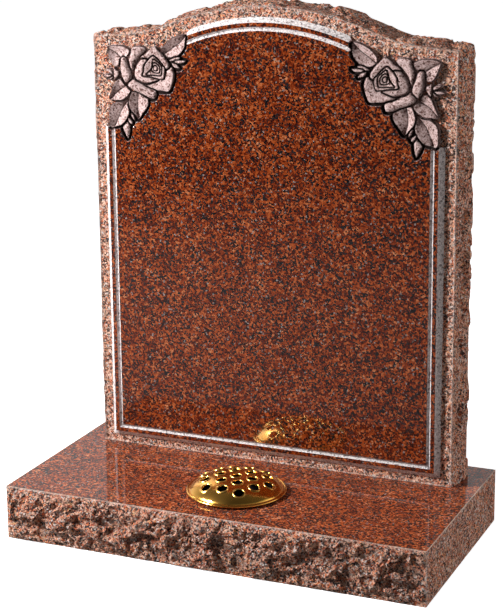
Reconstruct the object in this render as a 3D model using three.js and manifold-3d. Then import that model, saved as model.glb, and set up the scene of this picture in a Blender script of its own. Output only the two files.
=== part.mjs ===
// Lawn memorial: a headstone of red granite on a low granite base, with a perforated
// flower lid over a container sunk in the base. Millimetres, +Z up, front towards -Y.
// The origin is the middle of the base's footprint, on its underside.
import * as THREE from "three";
import { mergeVertices } from "three/addons/utils/BufferGeometryUtils.js";
import Module from "manifold-3d";

const wasm = await Module();
wasm.setup();

// Base slab
const baseWidth = 610;
const baseDepth = 314;
const baseHeight = 76;
const frontPitch = 12; // how far the rock-pitched front swells past its arris
const sidePitch = 5; // the same for the quieter sides and back
const baseFront = -(baseDepth + frontPitch + sidePitch) / 2 + frontPitch;
const baseBack = baseFront + baseDepth;

// Headstone, heights measured from the top of the base
const stoneHalfWidth = 267;
const stoneDepth = 74;
const stoneSetback = 223; // from the base's front arris to the margin of the headstone
const stoneFront = baseFront + stoneSetback;
const cornerHeight = 600;
const shoulderHeight = 604;
const shoulderX = 225;
const apexHeight = 650;
const crownRadius = 400;
const crownHalfWidth = 150; // where the crown's arc turns into the hollow of the ogee
const stoneSidePitch = 7;
const stoneTopPitch = 9;
const bedJoint = 0.3;
const smallestFacet = 0.05; // flatter facets than this are merged

// Raised polished panel
const panelHalfWidth = 245;
const panelBottom = 19;
const panelApex = 629;
const panelRadius = 330;
const panelRaise = 7;
const grooveInset = 5.8;
const grooveWidth = 5.6;
const grooveDepth = 3;

// Roses, placed by the heart of each spiral
const roseX = 174;
const roseHeight = 559;
const reliefRoot = 9; // how deep a petal's sides go below the panel's face
const cutDepth = 5.5;
const cutWidth = 2.2;

// Flower lid and container
const lidY = baseFront + 100;
const lidRadius = 69;
const domeRadius = 64.5;
const domeFoot = 6;
const domeRise = 17;
const domePower = 5;
const sheet = 1.5;
const holeRadius = 6.9;
const collarRadius = 8.3;
const collarRise = 0.9;
const holePitch = 24.8;
const holeSides = 8;
const holeTurn = THREE.MathUtils.degToRad(28);
const boreRadius = 50;
const potRadius = 48.4;
const potFootRadius = 45;
const potDepth = 71;
const flangeRadius = 64;

const granite = new THREE.MeshStandardMaterial({ color: 0x7a2c16, roughness: 0.2, metalness: 0 });
const pitchedGranite = new THREE.MeshStandardMaterial({ color: 0x9a6a58, roughness: 0.8, metalness: 0 });
const gold = new THREE.MeshStandardMaterial({ color: 0xd19a2a, roughness: 0.2, metalness: 1 });
const plainAluminium = new THREE.MeshStandardMaterial({ color: 0xb9babb, roughness: 0.4, metalness: 1 });

function indexedGeometry(points, triangles) {
  return new THREE.BufferGeometry().setFromPoints(points).setIndex(triangles.flat());
}

// A closed solid through rings of equal count, its two end rings capped flat.
// drop names the axis that a cap's triangulation leaves out.
function loft(rings, drop) {
  const count = rings[0].length;
  const points = rings.flat();
  const triangles = [];
  for (let r = 0; r + 1 < rings.length; r++) {
    for (let i = 0; i < count; i++) {
      const a = r * count + i;
      const b = r * count + ((i + 1) % count);
      triangles.push([a, b, b + count], [a, b + count, a + count]);
    }
  }
  const flat = (p) => (drop === "y" ? new THREE.Vector2(p.x, p.z) : new THREE.Vector2(p.x, p.y));
  for (const [ring, start, last] of [
    [rings[0], 0, false],
    [rings[rings.length - 1], points.length - count, true],
  ]) {
    for (const [a, b, c] of THREE.ShapeUtils.triangulateShape(ring.map(flat), [])) {
      const face = [a + start, b + start, c + start];
      triangles.push(last === ringTurns(ring.map(flat)) ? face : face.reverse());
    }
  }
  return indexedGeometry(points, triangles);
}

// Whether a flat ring runs anticlockwise.
function ringTurns(ring) {
  return THREE.ShapeUtils.area(ring) > 0;
}

// The solid inside a closed geometry, its faces turned outwards.
function solid(geometry) {
  const bare = geometry.index ? geometry.toNonIndexed() : geometry.clone();
  bare.deleteAttribute("normal");
  bare.deleteAttribute("uv");
  const merged = mergeVertices(bare, 1e-3);
  const triVerts = new Uint32Array(merged.index.array);
  const [a, b, c] = [0, 1, 2].map(() => new THREE.Vector3());
  let volume = 0;
  for (let i = 0; i < triVerts.length; i += 3) {
    a.fromBufferAttribute(merged.attributes.position, triVerts[i]);
    b.fromBufferAttribute(merged.attributes.position, triVerts[i + 1]);
    c.fromBufferAttribute(merged.attributes.position, triVerts[i + 2]);
    volume += a.dot(b.cross(c));
  }
  if (volume < 0) triVerts.reverse();
  const vertProperties = new Float32Array(merged.attributes.position.array);
  return new wasm.Manifold(new wasm.Mesh({ numProp: 3, vertProperties, triVerts }));
}

function namedMesh(name, body, material) {
  const made = body.simplify(smallestFacet).getMesh();
  const geometry = new THREE.BufferGeometry();
  geometry.setAttribute("position", new THREE.BufferAttribute(new Float32Array(made.vertProperties), 3));
  geometry.setIndex(new THREE.BufferAttribute(new Uint32Array(made.triVerts), 1));
  geometry.computeVertexNormals();
  const mesh = new THREE.Mesh(geometry, material);
  mesh.name = name;
  return mesh;
}

// A repeatable scatter between 0 and 1 for the chips of the pitched faces.
function scatter(i, j) {
  const s = Math.sin(i * 127.1 + j * 311.7) * 43758.5453;
  return s - Math.floor(s);
}

// Splits the stretch from one corner to the next into steps of about the given length.
function stretch(from, to, step) {
  const count = Math.max(1, Math.round(from.distanceTo(to) / step));
  return Array.from({ length: count }, (_, i) => from.clone().lerp(to, i / count));
}

// The outward direction at each point of a closed flat outline that runs anticlockwise.
function outwards(outline) {
  return outline.map((p, i) => {
    const before = outline[(i + outline.length - 1) % outline.length];
    const after = outline[(i + 1) % outline.length];
    const along = after.clone().sub(before).normalize();
    return new THREE.Vector2(along.y, -along.x);
  });
}

// A block whose edge faces are rock-pitched: the outline is sharp at both arrises and
// swells between them by pitch(point), chipped into facets.
function pitchedBlock(outline, pitch, place, drop) {
  const outward = outwards(outline);
  const bands = [0, 0.18, 0.5, 0.82, 1];
  const rings = bands.map((t, row) =>
    outline.map((p, i) => {
      const swell = Math.sin(Math.PI * t) ** 0.6;
      const chip = row === 2 && i % 5 === 0 ? 1 : 0.45 + 0.55 * scatter(i, row);
      const out = pitch(p) * swell * chip;
      return place(p.x + outward[i].x * out, p.y + outward[i].y * out, t);
    }),
  );
  return solid(loft(rings, drop));
}

// The top of the headstone at a distance x from its middle.
function topHeight(x) {
  const away = Math.abs(x);
  const crown = (at) => apexHeight - crownRadius + Math.sqrt(crownRadius ** 2 - at ** 2);
  if (away <= crownHalfWidth) return crown(away);
  if (away >= shoulderX) {
    const along = (away - shoulderX) / (stoneHalfWidth - shoulderX);
    return shoulderHeight + (cornerHeight - shoulderHeight) * along;
  }
  const span = shoulderX - crownHalfWidth;
  const t = (away - crownHalfWidth) / span;
  const slope = -crownHalfWidth / Math.sqrt(crownRadius ** 2 - crownHalfWidth ** 2);
  const start = crown(crownHalfWidth);
  return start + slope * span * (t - t * t) + (shoulderHeight - start) * t * t;
}

// The panel's outline moved inwards by inset, anticlockwise from its lower left corner.
function panelOutline(inset) {
  const half = panelHalfWidth - inset;
  const radius = panelRadius - inset;
  const centre = panelApex - panelRadius;
  const sweep = Math.asin(half / radius);
  const archSteps = 22;
  const arch = Array.from({ length: archSteps + 1 }, (_, i) => {
    const angle = sweep * (1 - (2 * i) / archSteps);
    return new THREE.Vector2(radius * Math.sin(angle), centre + radius * Math.cos(angle));
  });
  return [
    new THREE.Vector2(-half, panelBottom + inset),
    new THREE.Vector2(half, panelBottom + inset),
    ...arch,
  ];
}

// A ring of the panel's outline, proud of the headstone's margin by the given height.
function panelRing(inset, proud) {
  return panelOutline(inset).map((p) => new THREE.Vector3(p.x, stoneFront - proud, baseHeight + p.y));
}

function raisedPanel() {
  const seat = 2;
  return solid(loft([panelRing(-panelRaise, -seat), panelRing(-panelRaise, 0), panelRing(0, panelRaise)], "y"));
}

function panelGroove() {
  const clear = 1;
  const spill = clear * (grooveWidth / 2 / grooveDepth);
  const outer = panelRing(grooveInset - spill, panelRaise + clear);
  const bottom = panelRing(grooveInset + grooveWidth / 2, panelRaise - grooveDepth);
  const inner = panelRing(grooveInset + grooveWidth + spill, panelRaise + clear);
  const points = [...outer, ...bottom, ...inner];
  const count = outer.length;
  const triangles = [];
  for (let r = 0; r < 3; r++) {
    for (let i = 0; i < count; i++) {
      const a = r * count + i;
      const b = r * count + ((i + 1) % count);
      const shift = r === 2 ? -2 * count : count;
      triangles.push([a, b, b + shift], [a, b + shift, a + shift]);
    }
  }
  return solid(indexedGeometry(points, triangles));
}

// The carving of one rose as strips, from the hindmost to the foremost. Each has a spine
// from one end to the other with a bend to its left, a half width, where it is widest
// along its length, how blunt its ends are, and the level of its edges and its spine
// below the panel's face, and how much of that difference the crown has gained halfway.
// Millimetres from the heart of the spiral.
const leaf = { widest: 0.46, blunt: 0.8, edge: -0.8, spine: -4.2, round: 0, rows: 6 };
const petal = { widest: 0.5, blunt: 0.42, edge: -2.6, spine: -0.4, round: 0.7, rows: 5 };
const lobe = { widest: 0.55, blunt: 0.7, edge: -2.4, spine: -0.8, round: 0, rows: 4 };
const roseStrips = [
  { ...leaf, from: [-44, 6], to: [-82, 31], bend: 0, half: 16 },
  { ...leaf, from: [12, 20], to: [54, 52], bend: -2, half: 14 },
  { ...leaf, from: [-38, -24], to: [-77, -49], bend: 2, half: 14 },
  { ...leaf, from: [-44, -46], to: [-70, -89], bend: 2, half: 13 },
  { ...leaf, from: [-27, -33], to: [-28, -76], bend: 2, half: 14.5 },
  { ...lobe, from: [22, 9], to: [45, 20], bend: 0, half: 3.2 },
  { ...lobe, from: [22, 10], to: [54, 13], bend: 0, half: 3.4 },
  { ...lobe, from: [22, 11], to: [40, 3], bend: 0, half: 3.2 },
  { ...lobe, from: [-54, -10], to: [-67, 3], bend: 0, half: 3.6 },
  { ...lobe, from: [-54, -8], to: [-86, -10], bend: 0, half: 4.4 },
  { ...lobe, from: [-56, -6], to: [-78, -19], bend: 0, half: 3.8 },
  { ...lobe, from: [-45, -80], to: [-45, -105], bend: 0, half: 6.4 },
  { ...lobe, from: [-38, -64], to: [-34, -78], bend: 0, half: 3.4 },
  { ...lobe, from: [-43, -68], to: [-37, -84], bend: -1, half: 3.8 },
  { ...lobe, from: [-46, -70], to: [-51, -87], bend: 1, half: 4 },
  { ...petal, from: [-32, -8], to: [-22, 39], bend: 4, half: 14 },
  { ...petal, from: [-45, 17], to: [-43, -23], bend: 2, half: 10 },
  { ...petal, from: [-42, -22], to: [6, -40], bend: -1, half: 8.6 },
  { ...petal, from: [28, 8], to: [-8, -24], bend: -24, half: 13 },
  { ...petal, from: [3, 34], to: [-2, -14], bend: 0, half: 25, widest: 0.62, blunt: 0.75 },
  { ...petal, from: [-31, -4], to: [21, -3], bend: 0, half: 19.5, blunt: 0.5 },
  { ...petal, from: [2, 22], to: [1, -11], bend: 0, half: 17, widest: 0.72, blunt: 0.8, edge: -1.6, rows: 5 },
  { ...petal, from: [-1, 14], to: [-1, -9], bend: 0, half: 12.5, widest: 0.72, blunt: 0.8, edge: -1.8, rows: 5 },
  { ...petal, from: [-6.5, 0], to: [6.5, 0], bend: 0, half: 6.5, blunt: 0.5, edge: -1.2, spine: -1, rows: 4 },
];

// One carved strip as a closed solid: rows across the spine, pointed at both ends.
// grow widens it all round, floor is the depth of its flat underside, and levels gives
// the height of its top at places from one edge, 1, to the other, -1.
function stripSolid(strip, side, grow, floor, levels) {
  const rows = strip.rows;
  const from = new THREE.Vector2(...strip.from);
  const to = new THREE.Vector2(...strip.to);
  const along = to.clone().sub(from);
  const length = along.length();
  along.divideScalar(length);
  const left = new THREE.Vector2(-along.y, along.x);
  from.addScaledVector(along, -grow);
  const reach = length + 2 * grow;
  const points = [];
  const sections = [];
  for (let row = 0; row <= rows; row++) {
    const t = row / rows;
    const warped = t ** (Math.log(0.5) / Math.log(strip.widest));
    const wide = (strip.half + grow) * Math.sin(Math.PI * warped) ** strip.blunt;
    const middle = from
      .clone()
      .addScaledVector(along, reach * t)
      .addScaledVector(left, strip.bend * 4 * t * (1 - t));
    const across = row === 0 || row === rows ? [0] : levels.map(([u]) => u);
    sections.push(
      across.map((u, i) => {
        const at = middle.clone().addScaledVector(left, wide * u);
        const level = across.length === 1 ? levels[0][1] : levels[i][1];
        const x = side * (at.x - roseX);
        points.push(new THREE.Vector3(x, stoneFront - panelRaise - level, baseHeight + roseHeight + at.y));
        return points.length - 1;
      }),
    );
  }
  const floors = sections.map((section) =>
    [section[0], section[section.length - 1]].map((corner) => {
      const p = points[corner].clone();
      p.y = stoneFront - panelRaise + floor;
      points.push(p);
      return points.length - 1;
    }),
  );
  const loops = sections.map((section, i) => [...section, floors[i][1], floors[i][0]]);
  return sewLoops(points, loops);
}

// Joins neighbouring loops of a strip. An end loop stands on one spot above its floor.
function sewLoops(points, loops) {
  const count = Math.max(...loops.map((loop) => loop.length));
  const full = loops.map((loop) => {
    if (loop.length === count) return loop;
    return [...Array(count - 2).fill(loop[0]), loop[1], loop[1]];
  });
  const triangles = [];
  const push = (a, b, c) => {
    if (a !== b && b !== c && c !== a) triangles.push([a, b, c]);
  };
  for (let r = 0; r + 1 < full.length; r++) {
    for (let i = 0; i < count; i++) {
      const j = (i + 1) % count;
      push(full[r][i], full[r + 1][j], full[r][j]);
      push(full[r][i], full[r + 1][i], full[r + 1][j]);
    }
  }
  return solid(indexedGeometry(points, triangles));
}

function carveRose(stone, side) {
  const clear = 4;
  let carved = stone;
  for (const strip of roseStrips) {
    const { edge, spine } = strip;
    const slope = [[1, edge], [0, spine], [-1, edge]];
    const half = edge + (spine - edge) * strip.round;
    const crowned = [[1, edge], [0.55, half], [0, spine], [-0.55, half], [-1, edge]];
    const cut = stripSolid(strip, side, cutWidth, cutDepth, [[1, clear], [-1, clear]]);
    const body = stripSolid(strip, side, 0, reliefRoot, strip.round ? crowned : slope);
    carved = carved.subtract(cut).add(body);
  }
  return carved;
}

function headstone() {
  const step = 34;
  const floor = bedJoint;
  const corners = {
    lowLeft: new THREE.Vector2(-stoneHalfWidth, floor),
    lowRight: new THREE.Vector2(stoneHalfWidth, floor),
    topRight: new THREE.Vector2(stoneHalfWidth, cornerHeight),
    topLeft: new THREE.Vector2(-stoneHalfWidth, cornerHeight),
  };
  const topSteps = 20;
  const top = Array.from({ length: topSteps - 1 }, (_, i) => {
    const x = stoneHalfWidth * (1 - (2 * (i + 1)) / topSteps);
    return new THREE.Vector2(x, topHeight(x));
  });
  const outline = [
    corners.lowLeft,
    ...stretch(corners.lowRight, corners.topRight, step),
    corners.topRight,
    ...top,
    ...stretch(corners.topLeft, corners.lowLeft, step),
  ];
  const block = pitchedBlock(
    outline,
    (p) => (p.y < floor + 1 ? 0 : p.y > cornerHeight - 1 ? stoneTopPitch : stoneSidePitch),
    (x, z, t) => new THREE.Vector3(x, stoneFront + stoneDepth * t, baseHeight + z),
    "y",
  );
  let stone = block.add(raisedPanel()).subtract(panelGroove());
  for (const side of [1, -1]) stone = carveRose(stone, side);
  return stone;
}

function base() {
  const step = 34;
  const half = baseWidth / 2;
  const corners = [
    new THREE.Vector2(-half, baseFront),
    new THREE.Vector2(half, baseFront),
    new THREE.Vector2(half, baseBack),
    new THREE.Vector2(-half, baseBack),
  ];
  const outline = corners.flatMap((corner, i) => stretch(corner, corners[(i + 1) % 4], step));
  const pitch = (p) => (p.y < baseFront + 1 && Math.abs(p.x) < half - 1 ? frontPitch : sidePitch);
  const block = pitchedBlock(outline, pitch, (x, y, t) => new THREE.Vector3(x, y, baseHeight * t), "z");
  const bore = new THREE.CylinderGeometry(boreRadius, boreRadius, baseHeight * 2, 40);
  bore.rotateX(Math.PI / 2);
  bore.translate(0, lidY, baseHeight / 2);
  return block.subtract(solid(bore));
}

// A closed solid of revolution from a profile of radius and height, placed on the lid's axis.
function turned(profile, segments) {
  const geometry = new THREE.LatheGeometry(
    profile.map(([radius, height]) => new THREE.Vector2(radius, height)),
    segments,
  );
  geometry.rotateX(Math.PI / 2);
  geometry.translate(0, lidY, baseHeight);
  return solid(geometry);
}

// The dome's outer height at a radius, above the top of the base.
function domeHeight(radius) {
  return domeFoot + domeRise * (1 - (radius / domeRadius) ** domePower);
}

// The middles of the holes: a hexagon of rows, three on each side and five across.
function holeCentres() {
  const centres = [];
  for (let column = -2; column <= 2; column++) {
    const count = 5 - Math.abs(column);
    for (let i = 0; i < count; i++) {
      const u = column * holePitch * Math.cos(Math.PI / 6);
      const v = (i - (count - 1) / 2) * holePitch;
      const x = u * Math.cos(holeTurn) - v * Math.sin(holeTurn);
      const y = u * Math.sin(holeTurn) + v * Math.cos(holeTurn);
      centres.push(new THREE.Vector2(x, y));
    }
  }
  return centres;
}

function flowerLid() {
  const lipBottom = 2.2;
  const radii = [0, 24, 36, 45, 52, 57.5, 61.5, domeRadius];
  const outside = radii.map((r) => [r, domeHeight(r)]);
  const inside = radii.map((r) => [r * (1 - sheet / domeRadius), domeHeight(r) - sheet]).reverse();
  const rim = [
    [domeRadius, domeFoot - 0.9],
    [lidRadius - 1.6, domeFoot - 0.6],
    [lidRadius, domeFoot - 2],
    [lidRadius - 0.6, lipBottom],
    [domeRadius - 1, lipBottom],
  ];
  let lid = turned([...outside, ...rim, ...inside], 30);
  for (const centre of holeCentres()) {
    const radius = centre.length();
    const height = domeHeight(radius);
    const slope = (-domeRise * domePower * (radius / domeRadius) ** (domePower - 1)) / domeRadius;
    const up = new THREE.Vector3(0, 1, 0);
    const outward = radius > 0 ? centre.clone().divideScalar(radius) : new THREE.Vector2();
    const normal = new THREE.Vector3(-slope * outward.x, -slope * outward.y, 1).normalize();
    const turn = new THREE.Quaternion().setFromUnitVectors(up, normal);
    const place = new THREE.Matrix4().compose(
      new THREE.Vector3(centre.x, lidY + centre.y, baseHeight + height),
      turn,
      new THREE.Vector3(1, 1, 1),
    );
    const collarDrop = sheet - 0.3;
    const collar = new THREE.CylinderGeometry(collarRadius - 0.7, collarRadius, collarRise + collarDrop, holeSides);
    collar.translate(0, (collarRise - collarDrop) / 2, 0).applyMatrix4(place);
    const hole = new THREE.CylinderGeometry(holeRadius, holeRadius, 12, holeSides).applyMatrix4(place);
    lid = lid.add(solid(collar)).subtract(solid(hole));
  }
  return lid;
}

function flowerContainer() {
  const flangeTop = bedJoint + sheet;
  return turned(
    [
      [0, -potDepth],
      [potFootRadius, -potDepth],
      [potRadius, bedJoint],
      [flangeRadius, bedJoint],
      [flangeRadius, flangeTop],
      [potRadius - sheet, flangeTop],
      [potFootRadius - sheet, sheet - potDepth],
      [0, sheet - potDepth],
    ],
    32,
  );
}

const memorial = new THREE.Group();
memorial.add(namedMesh("base", base(), pitchedGranite));
memorial.add(namedMesh("headstone", headstone(), granite));
memorial.add(namedMesh("flower_container", flowerContainer(), plainAluminium));
memorial.add(namedMesh("flower_lid", flowerLid(), gold));

export default memorial;
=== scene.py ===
import math

import bmesh
import bpy
import numpy as np
from mathutils import Matrix, Vector
from mathutils.geometry import delaunay_2d_cdt


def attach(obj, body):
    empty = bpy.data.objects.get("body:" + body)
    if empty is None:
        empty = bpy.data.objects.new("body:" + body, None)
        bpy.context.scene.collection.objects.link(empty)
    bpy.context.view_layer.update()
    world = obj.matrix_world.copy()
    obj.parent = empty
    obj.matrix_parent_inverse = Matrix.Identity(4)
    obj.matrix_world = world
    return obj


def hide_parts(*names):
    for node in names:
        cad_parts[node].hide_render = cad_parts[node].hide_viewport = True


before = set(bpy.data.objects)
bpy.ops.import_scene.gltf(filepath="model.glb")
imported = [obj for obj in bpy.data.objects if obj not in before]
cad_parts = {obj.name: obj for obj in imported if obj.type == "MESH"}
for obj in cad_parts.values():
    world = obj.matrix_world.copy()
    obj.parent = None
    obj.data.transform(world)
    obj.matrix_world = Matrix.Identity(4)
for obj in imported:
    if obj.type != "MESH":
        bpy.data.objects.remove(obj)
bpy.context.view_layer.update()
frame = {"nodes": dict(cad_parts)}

print("frame loaded:", ", ".join(frame["nodes"]))

# Lawn memorial: headstone, base, flower container and its lid. Sizes are in millimetres
# and turned into metres where a mesh is made.
millimetre = 0.001

baseSlab = {
    "halfWidth": 305,  # to the arris, as front and back are
    "front": -153.5,
    "back": 160.5,
    "height": 76,
    "frontPitch": 11.9,  # the most that the broken front stands out
    "sidePitch": 4.9,
    "endFade": 16,  # the relief rises over this much at the ends of a side
    "boreRadius": 50,
    "boreClear": 3,
    "flatStep": 12,
    "swell": 0.42,  # how full the pitched faces are; less is fuller
    "endSwell": 0.7,
    "bruise": 1.6,  # widths of the pale arrises, beside and on top
    "topBruise": 1.5,
    "cleanFoot": 4,  # no bruising below this height
    "arrisInset": 1.6,  # a row of points here keeps the bruising of an arris narrow
    "arrisStep": 3,
    "rows": 42,
    "frontStep": 1.75,
    "sideStep": 2.6,
    "seed": 3,
    "brokenFront": {"cell": 36, "mean": 6.6, "chunk": 5.5, "chip": 3.6, "flake": 1.7, "crystal": 0.55},
    "brokenSide": {"cell": 44, "mean": 1.5, "chunk": 1.5, "chip": 0.8, "flake": 0.4, "crystal": 0.2},
    "brokenRear": {"cell": 34, "mean": 2.4, "chunk": 2.2, "chip": 1.4, "flake": 0.7, "crystal": 0.3},
}

headstone = {
    "halfWidth": 267,
    "front": 69.5,
    "back": 143.5,
    "foot": 0.3,  # bed joint above the base
    "cornerHeight": 600,
    "shoulderHeight": 604,
    "shoulderX": 225,
    "apexHeight": 650,
    "crownRadius": 400,
    "crownHalfWidth": 150,
    "sidePitch": 9.0,  # the most that the sides stand out
    "topPitch": 8.8,
    "cornerFade": 30,  # one pitch turns into the other over this much
    "swell": 0.55,  # how full the pitched faces are; less is fuller
    "waves": {"height": 1.3, "length": 58, "stretch": 30},
    "bruise": 2.2,  # widths of the pale arrises
    "frontBruise": 1.8,
    "fanWindow": 9,
    "broken": {"cell": 34, "mean": 0.5, "chunk": 0.62, "chip": 0.3, "flake": 0.13, "crystal": 0.05},
    "edgeStep": 2.4,
    "rows": 30,
    "marginStep": 2.1,
    "marginRelief": 3.25,
    "flatStep": 12,
    "clear": 1.0,  # loose points keep this far from the outline
    "seed": 11,
}

panel = {
    "halfWidth": 245,
    "bottom": 19,
    "apex": 629,
    "radius": 330,
    "raise": 7,
    "grooveInset": 5.8,
    "grooveWidth": 5.6,
    "grooveDepth": 3,
    "lineStep": 5,
    "faceStep": 9,
    "faceInset": 16,
    "grooveDarkening": {"low": 0.34, "below": 90, "over": 60, "right": 0.22, "beyond": 200},
}

lid = {
    "y": -53.5,
    "domeRadius": 64.5,
    "domeFoot": 6,
    "domeRise": 17,
    "domePower": 4.0,
    "sheet": 1.5,
    "holeRadius": 6.7,
    "collarRadius": 9.1,
    "collarRise": 0.9,
    "holePitch": 24.8,
    "holeTurn": math.radians(28),
    "holeSides": 32,
    "ridge": (0, 0.3, 0.75, 1.0, 1.35, 1.75, 2.0),  # rings from a hole's edge, in halves of a collar's width
    "segments": 144,
    "step": 1.9,
    "rim": [  # the rolled lip, as radius and height over the base
        (64.5, 6.0), (64.55, 5.45), (64.9, 5.05), (65.4, 4.95), (65.9, 5.1), (66.5, 5.4), (67.2, 5.5),
        (68.0, 5.3), (68.6, 4.8), (68.95, 4.2), (69.0, 3.6), (68.8, 3.0), (68.4, 2.5), (67.8, 2.25),
        (66.0, 2.2), (64.2, 2.4), (63.2, 3.2), (63.0, 4.5),
    ],
}

container = {
    "radius": 48.4,
    "waistRadius": 46.5,
    "waist": -40,
    "footRadius": 45,
    "depth": 71,
    "flangeRadius": 64,
    "sheet": 1.5,
    "seat": 0.3,
    "segments": 96,
}


# Camera, fitted to the arrises of both stones in a 503 x 614 picture.
view = {
    "place": (0.9375, -2.1540, 0.9683),
    "yaw": -0.4095,
    "pitch": 0.2332,
    "roll": 0.0094,
    "lens": 104.58,
    "shiftY": -0.1,
}


def placeCamera():
    yaw, pitch, roll = view["yaw"], view["pitch"], view["roll"]
    ahead = Vector((math.sin(yaw) * math.cos(pitch), math.cos(yaw) * math.cos(pitch), -math.sin(pitch)))
    level = Vector((math.cos(yaw), -math.sin(yaw), 0))
    down = ahead.cross(level)
    right = math.cos(roll) * level + math.sin(roll) * down
    up = math.sin(roll) * level - math.cos(roll) * down
    data = bpy.data.cameras.new("camera")
    data.lens = view["lens"]
    data.shift_y = view["shiftY"]
    data.clip_start, data.clip_end = 0.05, 60
    eye = bpy.data.objects.new("camera", data)
    turn = Matrix((right, up, -ahead)).transposed()
    eye.matrix_world = Matrix.Translation(view["place"]) @ turn.to_4x4()
    bpy.context.scene.collection.objects.link(eye)
    bpy.context.scene.camera = eye


placeCamera()
print("camera placed")


# Repeatable scatter and broken-stone relief, worked out on numpy arrays.
def hashed(a, b, seed):
    wave = np.sin(a * 127.1 + b * 311.7 + seed * 74.7) * 43758.5453
    return wave - np.floor(wave)


def chips(u, v, cell, seed, tilt=1.5, crisp=13):  # facets about one cell wide, between 0 and 1
    shake = 0.8  # how far a facet's middle strays, in cells
    u, v = u / cell, v / cell
    col, row = np.floor(u), np.floor(v)
    total, weight = np.zeros_like(u), np.zeros_like(u)
    for right in (-1, 0, 1):
        for up in (-1, 0, 1):
            a, b = col + right, row + up
            du = u - a - 0.5 - shake * (hashed(a, b, seed) - 0.5)
            dv = v - b - 0.5 - shake * (hashed(a, b, seed + 1) - 0.5)
            lean = (hashed(a, b, seed + 2) - 0.5) * du + (hashed(a, b, seed + 3) - 0.5) * dv
            share = np.exp(-crisp * (du * du + dv * dv)) + 1e-9
            total += share * (hashed(a, b, seed + 4) + tilt * lean)
            weight += share
    return np.clip(total / weight, 0, 1)


def clouds(u, v, cell, seed):  # soft noise between 0 and 1
    u, v = u / cell, v / cell
    col, row = np.floor(u), np.floor(v)
    s, t = u - col, v - row
    s, t = s * s * (3 - 2 * s), t * t * (3 - 2 * t)
    low = hashed(col, row, seed) * (1 - s) + hashed(col + 1, row, seed) * s
    high = hashed(col, row + 1, seed) * (1 - s) + hashed(col + 1, row + 1, seed) * s
    return low * (1 - t) + high * t


# Sizes that granite breaks in: share of the coarse cell, tilt and crispness of the facets.
fractures = {"chunk": (1, 2.2, 22), "chip": (0.4, 2.0, 18), "flake": (0.17, 2.0, 15)}
crystalSize = 2.3


def brokenStone(u, v, seed, look):  # millimetres of chunks, chips and crystals round a mean
    coarse = look["cell"]
    wander = coarse * 0.4
    u = u + wander * (clouds(u, v, coarse, seed + 20) - 0.5)
    v = v + wander * (clouds(u, v, coarse, seed + 21) - 0.5)
    relief = look["mean"]
    for turn, (size, (share, tilt, crisp)) in enumerate(fractures.items()):
        facets = chips(u, v, coarse * share, seed + 5 * turn, tilt, crisp)
        relief = relief + 2 * look[size] * (facets - 0.5)
    crystals = hashed(np.floor(u / crystalSize), np.floor(v / crystalSize), seed)
    return relief + 2 * look["crystal"] * (crystals - 0.5)


# Meshes are gathered as parts: points, triangles, a finish slot for each triangle, and two
# marks for each point: how bruised and pale an arris is, or on the lid how much painted
# highlight a collar takes, and how dark it is made: painted shade in cuts, hollows and on
# faces turned from the light, and a darkening of the panel's groove towards the bottom.
marksKept = ("bruised", "deep")
weldGrid = 500  # cells per millimetre; what falls into one cell becomes one point
weldReach = 0.00001  # metres, for what the grid has missed


def part(points, triangles, slot, bruised=None, deep=None):
    count = len(points)
    marks = np.zeros((count, len(marksKept)))
    if bruised is not None:
        marks[:, 0] = bruised
    if deep is not None:
        marks[:, 1] = deep
    slots = np.broadcast_to(slot, len(triangles)).astype(int)
    return np.asarray(points, float), np.asarray(triangles, int), slots, marks


def makePiece(name, node, parts, finishes, sharpAngle):
    points, triangles, slots, marks = zip(*parts)
    offsets = np.cumsum([0] + [len(some) for some in points])
    triangles = np.concatenate([some + offset for some, offset in zip(triangles, offsets)])
    points, slots, marks = np.concatenate(points), np.concatenate(slots), np.concatenate(marks)
    grid = np.round(points * weldGrid).astype(np.int64)
    _, first, twin = np.unique(grid, axis=0, return_index=True, return_inverse=True)
    twin = twin.reshape(-1)
    welded = np.zeros((len(first), len(marksKept)))
    np.maximum.at(welded, twin, marks)
    triangles = twin[triangles]
    whole = (triangles != np.roll(triangles, 1, 1)).all(1)
    triangles, slots = triangles[whole], slots[whole]
    points = points[first] * millimetre

    mesh = bpy.data.meshes.new(name)
    mesh.vertices.add(len(points))
    mesh.vertices.foreach_set("co", points.astype(np.float32).ravel())
    mesh.loops.add(3 * len(triangles))
    mesh.loops.foreach_set("vertex_index", triangles.astype(np.int32).ravel())
    mesh.polygons.add(len(triangles))
    mesh.polygons.foreach_set("loop_start", np.arange(len(triangles), dtype=np.int32) * 3)
    mesh.polygons.foreach_set("material_index", slots.astype(np.int32))
    mesh.update(calc_edges=True)
    mesh.validate()
    for mark, values in zip(marksKept, welded.T):
        kept = mesh.attributes.new(mark, "FLOAT", "POINT")
        kept.data.foreach_set("value", values.astype(np.float32))
    shaped = bmesh.new()
    shaped.from_mesh(mesh)
    bmesh.ops.remove_doubles(shaped, verts=shaped.verts, dist=weldReach)
    bmesh.ops.recalc_face_normals(shaped, faces=shaped.faces)
    openEdges = sum(1 for edge in shaped.edges if not edge.is_manifold)
    shaped.to_mesh(mesh)
    shaped.free()
    mesh.polygons.foreach_set("use_smooth", np.ones(len(mesh.polygons), dtype=bool))
    mesh.set_sharp_from_angle(angle=math.radians(sharpAngle))
    for finish in finishes:
        mesh.materials.append(finish)
    piece = bpy.data.objects.new(name, mesh)
    bpy.context.scene.collection.objects.link(piece)
    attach(piece, "root")
    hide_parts(node)
    print(name, "made:", len(mesh.polygons), "triangles,", openEdges, "open edges")


def joined(rings, closed):  # triangles between rings of equal count, laid end to end
    count = len(rings[0])
    across = np.arange(count if closed else count - 1)
    triangles = []
    for ring in range(len(rings) - 1):
        a = ring * count + across
        b = ring * count + (across + 1) % count
        triangles += [np.stack([a, b, b + count], 1), np.stack([a, b + count, a + count], 1)]
    return np.concatenate(rings), np.concatenate(triangles)


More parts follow.
